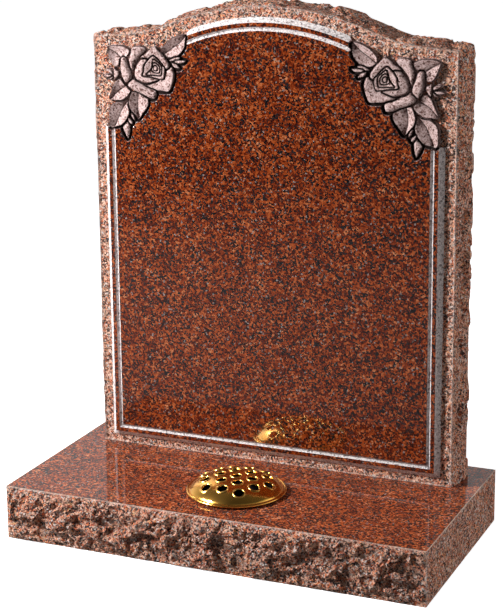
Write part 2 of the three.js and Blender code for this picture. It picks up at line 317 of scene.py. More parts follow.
def circleOf(count):  # directions round a circle
    angles = np.arange(count) * 2 * math.pi / count
    return np.stack([np.cos(angles), np.sin(angles)], 1)


def triangulated(loops, loose):  # every loop is kept as edges, over the whole hull
    nearest = 1e-5
    points = [np.asarray(loop, float) for loop in loops]
    edges, offset = [], 0
    for loop in points:
        ids = np.arange(len(loop))
        edges += np.stack([ids + offset, (ids + 1) % len(loop) + offset], 1).tolist()
        offset += len(loop)
    everything = np.concatenate(points + [loose]) if len(loose) else np.concatenate(points)
    found = delaunay_2d_cdt([Vector(p) for p in everything.tolist()], edges, [], 0, nearest)
    return np.array([tuple(p) for p in found[0]]), np.array(found[2])


def spread(lowX, highX, lowY, highY, step, seed, jitter=0.28):  # a shaken hexagonal grid
    rowGap = step * 0.866
    rows = np.arange(lowY, highY, rowGap)
    columns = np.arange(lowX, highX, step)
    x, y = np.meshgrid(columns, rows)
    x = x + (np.arange(len(rows)) % 2)[:, None] * step / 2
    shake = np.random.default_rng(seed).uniform(-jitter, jitter, (2, *x.shape)) * step
    return np.stack([(x + shake[0]).ravel(), (y + shake[1]).ravel()], 1)


def stepped(start, end, step):  # from start up to but not including end
    start, end = np.array(start, float), np.array(end, float)
    count = max(1, round(float(np.hypot(*(end - start))) / step))
    return start + (end - start) * (np.arange(count) / count)[:, None]


def walked(path):  # distance along an open path at each of its points
    hops = np.hypot(*np.diff(path, axis=0).T)
    return np.concatenate([[0], np.cumsum(hops)])


# Finishes. A Level wraps a socket that carries one number, so that expressions on it
# add Math nodes.
class Level:
    def __init__(self, finish, socket):
        self.finish = finish
        self.socket = socket

    def maths(self, operation, other=0.0, flipped=False):
        pair = (other, self) if flipped else (self, other)
        made = self.finish.node("Math", {"operation": operation}, {0: pair[0], 1: pair[1]})
        return Level(self.finish, made.outputs[0])

    def __add__(self, other):
        return self.maths("ADD", other)

    def __radd__(self, other):
        return self.maths("ADD", other)

    def __sub__(self, other):
        return self.maths("SUBTRACT", other)

    def __rsub__(self, other):
        return self.maths("SUBTRACT", other, flipped=True)

    def __mul__(self, other):
        return self.maths("MULTIPLY", other)

    def __rmul__(self, other):
        return self.maths("MULTIPLY", other)

    def __lt__(self, other):
        return self.maths("LESS_THAN", other)

    def __gt__(self, other):
        return self.maths("GREATER_THAN", other)


class Nodes:
    def __init__(self, tree):
        self.tree = tree
        tree.nodes.clear()

    def node(self, kind, settings, sockets):
        made = self.tree.nodes.new("ShaderNode" + kind)
        for key, value in settings.items():
            if key == "stops":
                ramp = made.color_ramp
                while len(ramp.elements) < len(value):
                    ramp.elements.new(1)
                for stop, (where, colour) in zip(ramp.elements, value):
                    stop.position = where
                    stop.color = (*colour, 1)
            else:
                setattr(made, key, value)
        for key, value in sockets.items():
            if isinstance(value, Level):
                value = value.socket
            if isinstance(value, bpy.types.NodeSocket):
                self.tree.links.new(value, made.inputs[key])
            elif isinstance(value, tuple) and len(value) == 3 and made.inputs[key].type == "RGBA":
                made.inputs[key].default_value = (*value, 1)
            else:
                made.inputs[key].default_value = value
        return made


class Finish(Nodes):
    def __init__(self, name):
        self.material = bpy.data.materials.new(name)
        self.material.use_nodes = True
        super().__init__(self.material.node_tree)

    def place(self):
        return self.node("TexCoord", {}, {}).outputs["Object"]

    def noise(self, where, scale, detail=2.0, rough=0.5):
        sockets = {"Vector": where, "Scale": scale, "Detail": detail, "Roughness": rough}
        return self.node("TexNoise", {}, sockets)

    def level(self, where, scale, detail=2.0, rough=0.5):  # a noise as one number
        return Level(self, self.noise(where, scale, detail, rough).outputs["Fac"])

    def vector(self, operation, *inputs):
        made = self.node("VectorMath", {"operation": operation}, dict(enumerate(inputs)))
        return made.outputs[0]

    def grains(self, where, scale):  # three random numbers for each crystal
        cells = self.node("TexVoronoi", {}, {"Vector": where, "Scale": scale})
        split = self.node("SeparateColor", {}, {"Color": cells.outputs["Color"]})
        return [Level(self, split.outputs[i]) for i in range(3)]

    def ramp(self, level, stops, interpolation="LINEAR"):
        made = self.node("ValToRGB", {"stops": stops}, {"Fac": level})
        made.color_ramp.interpolation = interpolation
        return made.outputs["Color"]

    def blend(self, level, first, second, how="MIX"):
        settings = {"data_type": "RGBA", "blend_type": how}
        made = self.node("Mix", settings, {0: level, 6: first, 7: second})
        return made.outputs[2]

    def mark(self, name):
        made = self.node("Attribute", {"attribute_name": name}, {})
        return Level(self, made.outputs["Fac"])

    def bump(self, height, distance, strength=1.0):
        sockets = {"Strength": strength, "Distance": distance, "Height": height}
        return self.node("Bump", {}, sockets).outputs["Normal"]

    def surface(self, sockets):
        shader = self.node("BsdfPrincipled", {}, sockets)
        self.node("OutputMaterial", {}, {"Surface": shader.outputs["BSDF"]})
        return self.material


granite = {
    "grain": 380,  # crystals per metre
    "fleck": 480,
    "cluster": 75,  # noises per metre: how black crystals gather, light patches, fine shading
    "patch": 34,
    "shading": 1300,
    "warp": 0.0019,  # metres that the crystals' edges wander
    "warpScale": 520,
    "dark": 0.30,  # share of black crystals
    "grey": 0.035,
    "red": [
        (0.0, (0.040, 0.004, 0.002)),
        (0.25, (0.115, 0.013, 0.003)),
        (0.5, (0.24, 0.037, 0.007)),
        (0.75, (0.375, 0.073, 0.015)),
        (0.9, (0.47, 0.135, 0.045)),
        (1.0, (0.60, 0.27, 0.14)),
    ],
    "black": [(0.0, (0.002, 0.002, 0.003)), (1.0, (0.024, 0.020, 0.022))],
    "greys": [(0.0, (0.12, 0.085, 0.08)), (1.0, (0.33, 0.27, 0.26))],
}


def graniteColour(finish, look):  # the colour, and which crystals are black
    here = finish.place()
    warp = finish.noise(here, look["warpScale"], 2).outputs["Color"]
    centred = finish.vector("SUBTRACT", warp, (0.5, 0.5, 0.5))
    shifted = finish.vector("MULTIPLY_ADD", centred, (look["warp"],) * 3, here)
    clusters = finish.level(here, look["cluster"], 3)
    patches = finish.level(here, look["patch"])
    fine = finish.level(here, look["shading"])
    shade, _, third = finish.grains(shifted, look["grain"])
    fleck, fleckShade, greyDraw = finish.grains(shifted, look["fleck"])
    red = finish.ramp(shade * 0.9 + fine * 0.6 + patches * 0.5 - 0.55, look["red"])
    black = finish.ramp(fleckShade, look["black"])
    greys = finish.ramp(third, look["greys"])
    isGrey = greyDraw > 1 - look["grey"]
    isBlack = fleck < clusters * 0.8 + (look["dark"] - 0.4)
    colour = finish.blend(isGrey, red, greys)
    return finish.blend(isBlack, colour, black), isBlack


def scaled(colour, amount):
    return tuple(min(1, channel * amount) for channel in colour)


def lifted(look, amount, **changes):  # the same stone, lighter or darker
    ramps = {}
    for key in ("red", "black", "greys"):
        ramps[key] = [(at, scaled(colour, amount)) for at, colour in look[key]]
    return {**look, **ramps, **changes}


# Colours of crushed and bruised granite, of painted glints, and of painted shade in pits, hollows and cuts.
traces = {
    "polishedArris": (0.66, 0.50, 0.38),
    "brokenArris": (0.80, 0.66, 0.60),
    "crushed": (0.99, 0.61, 0.45),
    "glint": (0.9, 0.8, 0.76),
    "pitShade": (0.020, 0.010, 0.008),
    "hollow": (0.03, 0.013, 0.008),
    "cut": (0.012, 0.005, 0.004),
}


def polishedGranite(name, look, index, haze):
    finish = Finish(name)
    colour, _ = graniteColour(finish, look)
    bruise = finish.mark("bruised")
    colour = finish.blend(bruise + haze, colour, traces["polishedArris"])
    return finish.surface({"Base Color": colour, "Roughness": bruise * 0.4 + 0.05, "IOR": index})


def pitchedGranite(name, look, paling, glint, rough):
    finish = Finish(name)
    colour, isBlack = graniteColour(finish, look)
    here = finish.place()
    crush = finish.grains(here, 400)
    bleach = (crush[0] - 0.12).maths("MAXIMUM", 0.1) * (1 - isBlack * 0.9) * (paling / 0.8)
    pits = finish.level(here, 520, 3, 0.6)
    # painted glints: a share of crystals coloured near white to stand for highlights
    sparkle = (crush[1] > 1 - glint) * 0.8
    colour = finish.blend(bleach, colour, traces["crushed"])
    colour = finish.blend(sparkle, colour, traces["glint"])
    # painted shade in the small pits, darkest where the pit noise is low
    colour = finish.blend((0.47 - pits) * (9 * paling), colour, traces["pitShade"])
    # painted shade in the hollows of the broken face, from the deep mark
    colour = finish.blend(finish.mark("deep") * 0.6, colour, traces["hollow"])
    colour = finish.blend(finish.mark("bruised") * 0.6, colour, traces["brokenArris"])
    lumps = finish.level(here, 140, 5, 0.7)
    normal = finish.bump(lumps + pits * 0.3 + crush[2] * 0.2, rough, 1.0)
    sockets = {"Base Color": colour, "Roughness": 0.8, "Specular IOR Level": 0.2, "Normal": normal}
    return finish.surface(sockets)


def frostedGranite(name, pale, dusk, contrast):
    finish = Finish(name)
    here = finish.place()
    grain = finish.grains(here, 420)
    fine = finish.level(here, 620, 3)
    tone = grain[0] * 0.8 + fine * 3.2 - 1.65
    colour = finish.blend(tone * contrast, pale, dusk)
    colour = finish.blend((grain[1] < 0.10) * contrast, colour, scaled(dusk, 0.6))
    # painted shade in the roses' cuts, along their edges and ribs and on faces turned right from the light;
    # in the groove, see the panel's darkening
    colour = finish.blend(finish.mark("deep"), colour, traces["cut"])
    normal = finish.bump(fine + grain[2] * 0.3, 0.0006, 0.7)
    sockets = {"Base Color": colour, "Roughness": 0.8, "Specular IOR Level": 0.1, "Normal": normal}
    return finish.surface(sockets)


def metal(name, colour, highlightColour, roughness, ripple):
    finish = Finish(name)
    here = finish.place()
    haze = finish.level(here, 40, 3)
    speck = finish.level(here, 700)
    tinted = finish.blend(haze * 0.35, colour, scaled(colour, 0.86))
    # painted highlight: where the mark is set, on the lid's collars, the gold is coloured paler
    paintedHighlight = finish.mark("bruised")
    tinted = finish.blend(paintedHighlight * 0.7, tinted, highlightColour)
    normal = finish.bump(speck + haze * 3, ripple, 0.4)
    dulled = haze * 0.08 + paintedHighlight * 0.1 + roughness
    sockets = {"Base Color": tinted, "Metallic": 1.0, "Roughness": dulled, "Normal": normal}
    return finish.surface(sockets)


panelRed = polishedGranite("polished red granite", lifted(granite, 0.86), 1.9, 0.0)
# painted light: the base's top uses the panel's granite made about one and a half times as light, for the
# light on a top face
litSlabRed = polishedGranite("polished red granite, base, painted lighter", lifted(granite, 1.28, dark=0.31), 1.40, 0.03)
brokenRed = lifted(granite, 3.0, dark=0.25, grey=0.07)
pitchedRed = pitchedGranite("rock pitched red granite", brokenRed, 1.0, 0.08, 0.0105)
chippedRed = pitchedGranite("chipped red granite", lifted(brokenRed, 0.9), 1.2, 0.10, 0.0080)
sawnRed = pitchedGranite("sawn red granite", lifted(brokenRed, 0.6), 0.4, 0.0, 0.0004)
blastedRed = frostedGranite("sandblasted red granite", (0.86, 0.80, 0.79), (0.38, 0.32, 0.32), 0.9)
carvedRed = frostedGranite("carved red granite", (0.63, 0.47, 0.45), (0.19, 0.09, 0.075), 0.95)
goldFinish = metal("bright gold anodising", (0.96, 0.50, 0.10), (1.0, 0.62, 0.17), 0.13, 0.00002)
# painted shade: the pot is coloured nearly black, standing for the shade inside it seen through the lid's
# holes
shadedAluminiumFinish = metal("spun aluminium, painted dark as shade", (0.014, 0.013, 0.012), (0.03, 0.03, 0.03), 0.6, 0.00003)
print("finishes made")

# Places in the headstone's list of finishes. The base's list begins in the same way.
polishedSlot, pitchedSlot, blastedSlot, carvedSlot, sawnSlot, chippedSlot = range(6)


# Headstone: outline, panel and pitched edges.
def topHeight(x):
    s = headstone
    away = np.abs(x)
    centre = s["apexHeight"] - s["crownRadius"]
    crown = centre + np.sqrt(np.maximum(s["crownRadius"] ** 2 - away**2, 0))
    rise = math.sqrt(s["crownRadius"] ** 2 - s["crownHalfWidth"] ** 2)
    start = centre + rise
    slope = -s["crownHalfWidth"] / rise
    span = s["shoulderX"] - s["crownHalfWidth"]
    t = (away - s["crownHalfWidth"]) / span
    hollow = start + slope * span * (t - t * t) + (s["shoulderHeight"] - start) * t * t
    along = (away - s["shoulderX"]) / (s["halfWidth"] - s["shoulderX"])
    shoulder = s["shoulderHeight"] + (s["cornerHeight"] - s["shoulderHeight"]) * along
    beyondCrown = np.where(away >= s["shoulderX"], shoulder, hollow)
    return np.where(away <= s["crownHalfWidth"], crown, beyondCrown)


def topPoints():  # the top as it is drawn, from left to right
    half = headstone["halfWidth"]
    x = np.linspace(-half, half, round(2 * half / headstone["edgeStep"]) + 1)
    return x, topHeight(x)


def insetFrom(points):  # how far inside the headstone's outline, along x or h
    s = headstone
    x, h = points.T
    under = np.interp(x, *topPoints()) - h
    return np.minimum(s["halfWidth"] - np.abs(x), np.minimum(h - s["foot"], under))


def panelInset(x, h):  # how far inside the panel's edge a point lies
    cutAway = -60  # beyond the line on which the roses cut the panel's corners off
    centre = panel["apex"] - panel["radius"]
    arch = panel["radius"] - np.hypot(x, np.maximum(h - centre, 0))
    inset = np.minimum(np.minimum(panel["halfWidth"] - np.abs(x), h - panel["bottom"]), arch)
    (lowX, lowY), (highX, highY) = rose["plot"]
    localX, localY = rose["x"] - np.abs(x), h - rose["height"]
    beyond = (highX - lowX) * (localY - lowY) - (highY - lowY) * (localX - lowX) > 0
    return np.where(beyond & (localY > lowY), cutAway, inset)


def panelLine(inset):  # the panel's outline moved inwards, as an even closed loop
    step = panel["lineStep"]
    half = panel["halfWidth"] - inset
    radius = panel["radius"] - inset
    centre = panel["apex"] - panel["radius"]
    sweep = math.asin(half / radius)
    spring = centre + radius * math.cos(sweep)
    low = panel["bottom"] + inset
    count = round(2 * sweep * radius / step)
    angles = sweep * (1 - 2 * np.arange(count) / count)
    arch = np.stack([radius * np.sin(angles), centre + radius * np.cos(angles)], 1)
    foot = stepped((-half, low), (half, low), step)
    right = stepped((half, low), (half, spring), step)
    left = stepped((-half, spring), (-half, low), step)
    return np.concatenate([foot, right, arch, left])


def panelProfile(inset):  # height of the bevel, the face and its groove above the margin
    top, deep = panel["raise"], panel["grooveDepth"]
    outer = panel["grooveInset"]
    half = panel["grooveWidth"] / 2
    across = np.abs(inset - outer - half)
    groove = np.where(across < half, deep * (1 - across / half), 0)
    return np.clip(top + inset, 0, top) - groove


# Roses: carved petals, leaves and lobes from the hindmost to the foremost, each a closed
# outline in millimetres from the rose's own origin. edge and crown are levels against the
# panel's face, cup is how fast a petal rises away from the heart, and shoulder is the width
# of its rounded edge. cutDark is how fast painted shade darkens a cut. edgeDark and outerDark
# are a first painted shade and how fast it changes.
rose = {
    "x": 174,
    "height": 559,
    "heart": (4, -1),
    "cutDepth": 5.6,
    "cutWidth": 2.8,
    "cutSlope": 1.6,
    "cutDark": 3,
    "edgeDark": (1.5, 1.15),
    "outerCut": 4.0,
    "outerSlope": 2.5,
    "outerDark": (0.3, 9),
    "near": 7,  # millimetres round an outline that it can change
    "plot": ((-62, -86), (52, 50)),  # the panel is cut away on the corner's side of this line
    "step": 0.84,
    "ring": 5.6,  # the fine points reach this far round the roses
    "clearRing": 7,
    "below": 112,  # extent of a rose under and over its place
    "above": 60,
    "toning": 0.65,  # painted shade: how much darker what faces right, away from the light, is
    "toneMost": 0.5,
    "toneStep": 0.4,
    "leaf": {"edge": -0.4, "crown": -6.6, "cup": 0.0, "shoulder": 2.2},
    "petal": {"edge": -3.6, "crown": -0.3, "cup": 0.0, "shoulder": 6.0},
    "lobe": {"edge": -2.4, "crown": -0.4, "cup": 0.0, "shoulder": 2.4},
}


def carved(kind, outline, spine=None, **changes):
    loop = smoothLoop(np.array(outline, float), 4)
    cut = {"kind": kind, "cutWidth": rose["cutWidth"], **rose[kind], "loop": loop, "spine": spine}
    cut.update(changes)
    heartX, heartY = rose["heart"]
    cut["reach"] = float(np.hypot(loop[:, 0] - heartX, loop[:, 1] - heartY).mean())
    return cut


def smoothLoop(points, stretches):  # a closed curve through the points
    before, after, beyond = [np.roll(points, turn, 0) for turn in (1, -1, -2)]
    squared = 2 * before - 5 * points + 4 * after - beyond
    cubed = 3 * points - before - 3 * after + beyond
    made = []
    for t in np.arange(stretches) / stretches:
        made.append(0.5 * (2 * points + (after - before) * t + squared * t**2 + cubed * t**3))
    return np.stack(made, 1).reshape(-1, 2)


roseCuts = [
    carved("leaf", [
        (-71, 26), (-62, 30), (-48, 30), (-39, 27.5), (-34, 23), (-40, 14), (-50, 12), (-51, 3),
        (-57, 0), (-63, 4), (-68, 14),
    ], [(-70, 25), (-60, 20), (-50, 13)]),
    carved("leaf", [
        (17, 22), (16, 28), (20, 35), (28, 41.5), (38, 46.5), (48, 49), (52, 48), (52, 40),
        (50, 30), (43, 21.5), (35, 17), (26, 16.5), (19.5, 19.5),
    ], [(18, 21), (29, 28.5), (42, 37.5), (51, 47)]),
    carved("leaf", [
        (-50.5, -17), (-47, -20), (-44, -25), (-40.5, -28), (-34.5, -33.5), (-37, -38.5),
        (-42, -43), (-49.5, -47.5), (-59.5, -48), (-69, -47), (-66.5, -38), (-63, -30), (-59, -21),
        (-55, -18),
    ], [(-43, -26.5), (-56, -34.5), (-68, -46.5)]),
    carved("leaf", [
        (-40, -46), (-39.5, -53.5), (-37, -61), (-38.5, -69), (-43, -76), (-50, -82.5), (-58, -85),
        (-66, -87), (-69.5, -82), (-70, -71), (-69, -61), (-65, -54.5), (-58, -50), (-48, -49),
    ], [(-41.5, -48), (-51.5, -61), (-62, -84)]),
    carved("leaf", [
        (-33, -35), (-28, -33), (-22, -35), (-15, -38.5), (-8.5, -41.5), (-6.3, -47.5), (-8.5, -55),
        (-15, -63.5), (-22.5, -73), (-28.5, -67), (-35.5, -59), (-38, -50), (-36, -42),
    ], [(-24, -36), (-26, -49), (-25.5, -60), (-23, -71)]),
    carved("lobe", [(26, 12), (36, 17.5), (44, 17), (41.5, 13), (34, 11)], cutWidth=1.9),
    carved("lobe", [(35, 12), (44, 13.5), (52.5, 13), (48, 9), (38, 8.5)], cutWidth=1.9),
    carved("lobe", [(30.5, 9), (38, 8), (43, 3), (41.5, 1), (34, 3)], cutWidth=1.9),
    carved("lobe", [(-74, -4.5), (-67, -3), (-61.5, -7), (-60.5, -11.5), (-67, -9)], cutWidth=1.8),
    carved("lobe", [
        (-79, -13.5), (-70.5, -11), (-61.5, -12.4), (-65, -15.5), (-73, -15.8),
    ], cutWidth=1.8),
    carved("lobe", [
        (-69.5, -18.5), (-63, -14), (-60.5, -13.5), (-62.5, -17.5), (-67, -20),
    ], cutWidth=1.8),
    carved("lobe", [
        (-60, -0.5), (-56, -4), (-50.5, -7), (-53, -13), (-59, -20), (-60.5, -12),
    ], cutWidth=1.9),
    carved("lobe", [
        (-35, -64.5), (-31.5, -65.5), (-28, -71), (-29.5, -75), (-33.5, -70.5),
    ], cutWidth=1.9),
    carved("lobe", [
        (-47, -83.5), (-39.5, -77), (-36, -81), (-36, -88), (-36.7, -93.5), (-40, -101.5),
        (-45, -93.5), (-48, -87),
    ], shoulder=4.5),
    carved("lobe", [(-39, -71), (-33, -75.5), (-31.5, -79), (-35, -81), (-39, -76)], cutWidth=1.9),
    carved("petal", [
        (-32, 26.5), (-28, 29.5), (-19.5, 30.5), (-12, 29), (-9.5, 24), (-16, 17.5), (-22, 11.5),
        (-27, 4), (-29.5, -2.5), (-31.7, -5), (-34, -1), (-36.5, 9), (-35.5, 14.5), (-33, 21),
    ], cup=0.16),
    carved("petal", [
        (-49.5, 12), (-46, 14.5), (-41.5, 13), (-39, 9.5), (-37, 2), (-34, -4.5), (-32, -12.5),
        (-34, -18), (-37.5, -21), (-42.5, -22), (-46, -18), (-49, -11), (-50.3, -4), (-50.3, 6),
    ]),
    carved("petal", [
        (30.5, 3), (33.5, -2), (35, -8.5), (33, -18), (29, -28), (25, -31.5), (16, -31.5),
        (5, -30.5), (-6, -26.5), (-15, -22), (-6, -14), (16, -8), (23, 0),
    ], cup=0.20, shoulder=3.5),
    carved("petal", [
        (-29.5, -16), (-24, -18.5), (-15, -23.5), (-6, -28), (1.7, -30), (5.7, -32.5), (6.2, -38),
        (3.5, -42.5), (-2, -43), (-8.5, -41), (-17, -37), (-26, -34), (-35, -30), (-39, -26),
        (-37, -21.5),
    ]),
    carved("petal", [
        (-18, 13), (-9.5, 21), (-2, 28), (5.5, 31), (12, 25), (19.5, 17.5), (25.5, 9), (26.5, 3),
        (22.5, -0.5), (14, -5), (-6, -5),
    ], cup=0.20, shoulder=3.5),
    carved("petal", [
        (-7, 12), (-17, 12), (-22, 7.5), (-27, 0), (-29.5, -9), (-27, -16), (-19.5, -20),
        (-8.5, -22), (1.7, -19), (10.5, -14.5), (5, -5), (0, 6),
    ], cup=-0.20, shoulder=3.5),
    carved("petal", [
        (1, 17.5), (6, 15.5), (12, 10), (17, 4), (19.7, 1), (20, -6), (18.5, -12), (16.5, -14.5),
        (8, -14), (-0.5, -12.3), (-13.5, -10.5), (-12.5, -4.5), (-11.7, 3), (-7, 10),
    ], cup=0.22, shoulder=1.6, edge=-2.0, cutWidth=2.1),
    carved("petal", [
        (3, 13), (8.5, 9.5), (14, 4), (15, -2), (14, -8.5), (10.5, -9.5), (2, -9.2), (-8, -9),
        (-3, -3), (-0.5, 2), (1.2, 9),
    ], cup=0.22, shoulder=1.4, edge=-2.4, crown=-1.0, cutWidth=1.8),
    carved("petal", [
        (2.8, 8), (7.8, 6.5), (11.5, 1.5), (11.7, -3.5), (9.5, -6), (3.5, -5.6), (-0.8, -3),
        (0.8, 3),
    ], cup=0.3, shoulder=1.2, edge=-2.6, crown=-1.4, cutWidth=1.6),
    carved("petal", [
        (3, 3.5), (6.3, 3.6), (8.3, 0.8), (7.4, -2.4), (4.6, -3), (2.4, -1.2),
    ], shoulder=1.4, edge=-3.0, crown=-1.6, cutWidth=1.5),
]


def distanceTo(line, x, y):  # from points to an open line
    nearest = np.full(len(x), 1e9)
    for (ax, ay), (bx, by) in zip(line[:-1], line[1:]):
        dx, dy = bx - ax, by - ay
        t = np.clip(((x - ax) * dx + (y - ay) * dy) / (dx * dx + dy * dy + 1e-12), 0, 1)
        nearest = np.minimum(nearest, np.hypot(x - ax - t * dx, y - ay - t * dy))
    return nearest


def insideBy(loop, x, y):  # distance to a closed outline, positive inside it
    closed = np.concatenate([loop, loop[:1]])
    crossed = np.zeros(len(x), bool)
    for (ax, ay), (bx, by) in zip(closed[:-1], closed[1:]):
        if ay != by:
            crossed ^= ((ay > y) != (by > y)) & (x < (bx - ax) * (y - ay) / (by - ay) + ax)
    return np.where(crossed, 1, -1) * distanceTo(closed, x, y)


def carvedLevel(cut, inside, x, y):  # level against the panel's face, and how much painted shade darkens a rib
    if cut["kind"] == "leaf":
        gap = distanceTo(cut["spine"], x, y)
        valley = inside / (inside + gap + 1e-6)
        rounded = 0.7 * np.clip(1 - inside / cut["shoulder"], 0, 1) ** 2
        rib = np.clip(1.4 - gap * 1.15, 0, 0.9) * np.clip(inside / 2, 0, 1)
        return cut["edge"] + (cut["crown"] - cut["edge"]) * valley - rounded, rib
    heartX, heartY = rose["heart"]
    rise = 1 - (1 - np.clip(inside / cut["shoulder"], 0, 1)) ** 2
    away = np.hypot(x - heartX, y - heartY) - cut["reach"]
    level = cut["edge"] + (cut["crown"] - cut["edge"]) * rise + cut["cup"] * away
    return np.minimum(level, -0.1), np.zeros_like(inside)


def roseRelief(x, h, ground):  # ground is the height before carving
    height, deep = ground.copy(), np.zeros_like(ground)
    nearest = np.full_like(ground, -99.0)
    near = rose["near"]
    edgeDark, edgeFade = rose["edgeDark"]
    for side in (1, -1):
        localX, localY = side * x + rose["x"], h - rose["height"]
        for cut in roseCuts:
            lowX, lowY = cut["loop"].min(0) - near
            highX, highY = cut["loop"].max(0) + near
            here = (localX > lowX) & (localX < highX) & (localY > lowY) & (localY < highY)
            if not here.any():
                continue
            x0, y0 = localX[here], localY[here]
            level, dark = height[here], deep[here]
            inside = insideBy(cut["loop"], x0, y0)
            reach = 1 + inside / cut["cutWidth"]
            bed = panel["raise"] - rose["cutDepth"] * np.clip(reach * rose["cutSlope"], 0, 1)
            moat = (inside < 0) & (reach > 0) & (bed < level)
            level = np.where(moat, bed, level)
            # painted shade in the cut round each carved piece
            moatDark = np.clip(reach * rose["cutDark"], 0, 1)
            dark = np.where(moat, np.maximum(dark, moatDark), dark)
            crown, rib = carvedLevel(cut, np.maximum(inside, 0), x0, y0)
            # painted shade on what falls towards the right, away from the light
            aside = x0 + side * rose["toneStep"]
            insideAside = np.maximum(insideBy(cut["loop"], aside, y0), 0)
            falling = (crown - carvedLevel(cut, insideAside, aside, y0)[0]) / rose["toneStep"]
            tone = np.clip(falling * rose["toning"], 0, rose["toneMost"])
            # painted shade along the inside of each outline
            rim = np.clip(edgeDark - inside * edgeFade, 0, 1)
            body = inside >= 0
            height[here] = np.where(body, panel["raise"] + crown, level)
            deep[here] = np.where(body, np.maximum(rim, np.maximum(rib, tone)), dark)
            nearest[here] = np.maximum(nearest[here], inside)
    reach = 1 + nearest / rose["outerCut"]  # a wider cut where the flowers meet the panel
    bed = panel["raise"] - rose["cutDepth"] * np.clip(reach * rose["outerSlope"], 0, 1)
    onFace = ground > panel["raise"] - 0.5
    moat = (nearest < 0) & (reach > 0) & onFace & (bed < height)
    height = np.where(moat, bed, height)
    # painted shade in the wider cut
    outerDark, outerFade = rose["outerDark"]
    deep = np.where(moat, np.maximum(deep, np.clip(outerDark + reach * outerFade, 0, 1)), deep)
    return height, deep, nearest


def roseReach(points):  # how far inside the nearest carved outline each point lies
    return roseRelief(*points.T, np.zeros(len(points)))[2]


def headstoneOutline():
    s = headstone
    low, high = s["foot"], s["cornerHeight"]
    left, right = [
        stepped((x, low), (x, high), s["edgeStep"]) for x in (-s["halfWidth"], s["halfWidth"])
    ]
    return np.concatenate([left, np.stack(topPoints(), 1), right[::-1]])


def outwardFan(path, window):  # outward directions, turned gradually round the corners
    run = walked(path)
    even = np.linspace(0, run[-1], len(path) * 2)
    places = [np.interp(even, run, column) for column in path.T]
    ahead = np.stack([np.interp(run + window, even, place) for place in places], 1)
    behind = np.stack([np.interp(run - window, even, place) for place in places], 1)
    along = ahead - behind
    along /= np.hypot(*along.T)[:, None]
    return np.stack([-along[:, 1], along[:, 0]], 1)


def headstoneEdges(path):  # the rock-pitched sides and top, from the front arris to the back
    s = headstone
    thickness = s["back"] - s["front"]
    run, depth = np.meshgrid(walked(path), np.linspace(0, 1, s["rows"] + 1))
    outward = outwardFan(path, s["fanWindow"])
    isTop = np.clip((path[:, 1] - s["cornerHeight"] + s["cornerFade"]) / s["cornerFade"], 0, 1)
    amount = s["sidePitch"] + (s["topPitch"] - s["sidePitch"]) * isTop
    swell = np.sin(np.pi * depth) ** s["swell"]
    broken = brokenStone(run, depth * thickness, s["seed"], s["broken"])
    waves = s["waves"]
    rolling = clouds(run, depth * waves["stretch"], waves["length"], s["seed"] + 40)
    broken += waves["height"] * (rolling - 0.5)
    out = amount[None, :] * swell * np.clip(broken, 0.02, 1)
    x = path[None, :, 0] + outward[None, :, 0] * out
    h = path[None, :, 1] + outward[None, :, 1] * out
    h = np.where(path[None, :, 1] <= s["foot"], s["foot"], h)
    y = s["front"] + thickness * depth
    rings = np.stack([x, y, h + baseSlab["height"]], 2)
    points, triangles = joined(list(rings), False)
    patchy = 0.55 + 0.45 * clouds(run, depth, 14, 5)
    bruise = np.clip(1 - depth * thickness / s["bruise"], 0, 1) * patchy
    # painted shade in the low places of the broken stone
    cavityShade = np.clip(0.5 - broken * 1.8, 0, 1) * swell * 0.3
    made = part(points, triangles, pitchedSlot, bruised=bruise.ravel(), deep=cavityShade.ravel())
    return made, rings


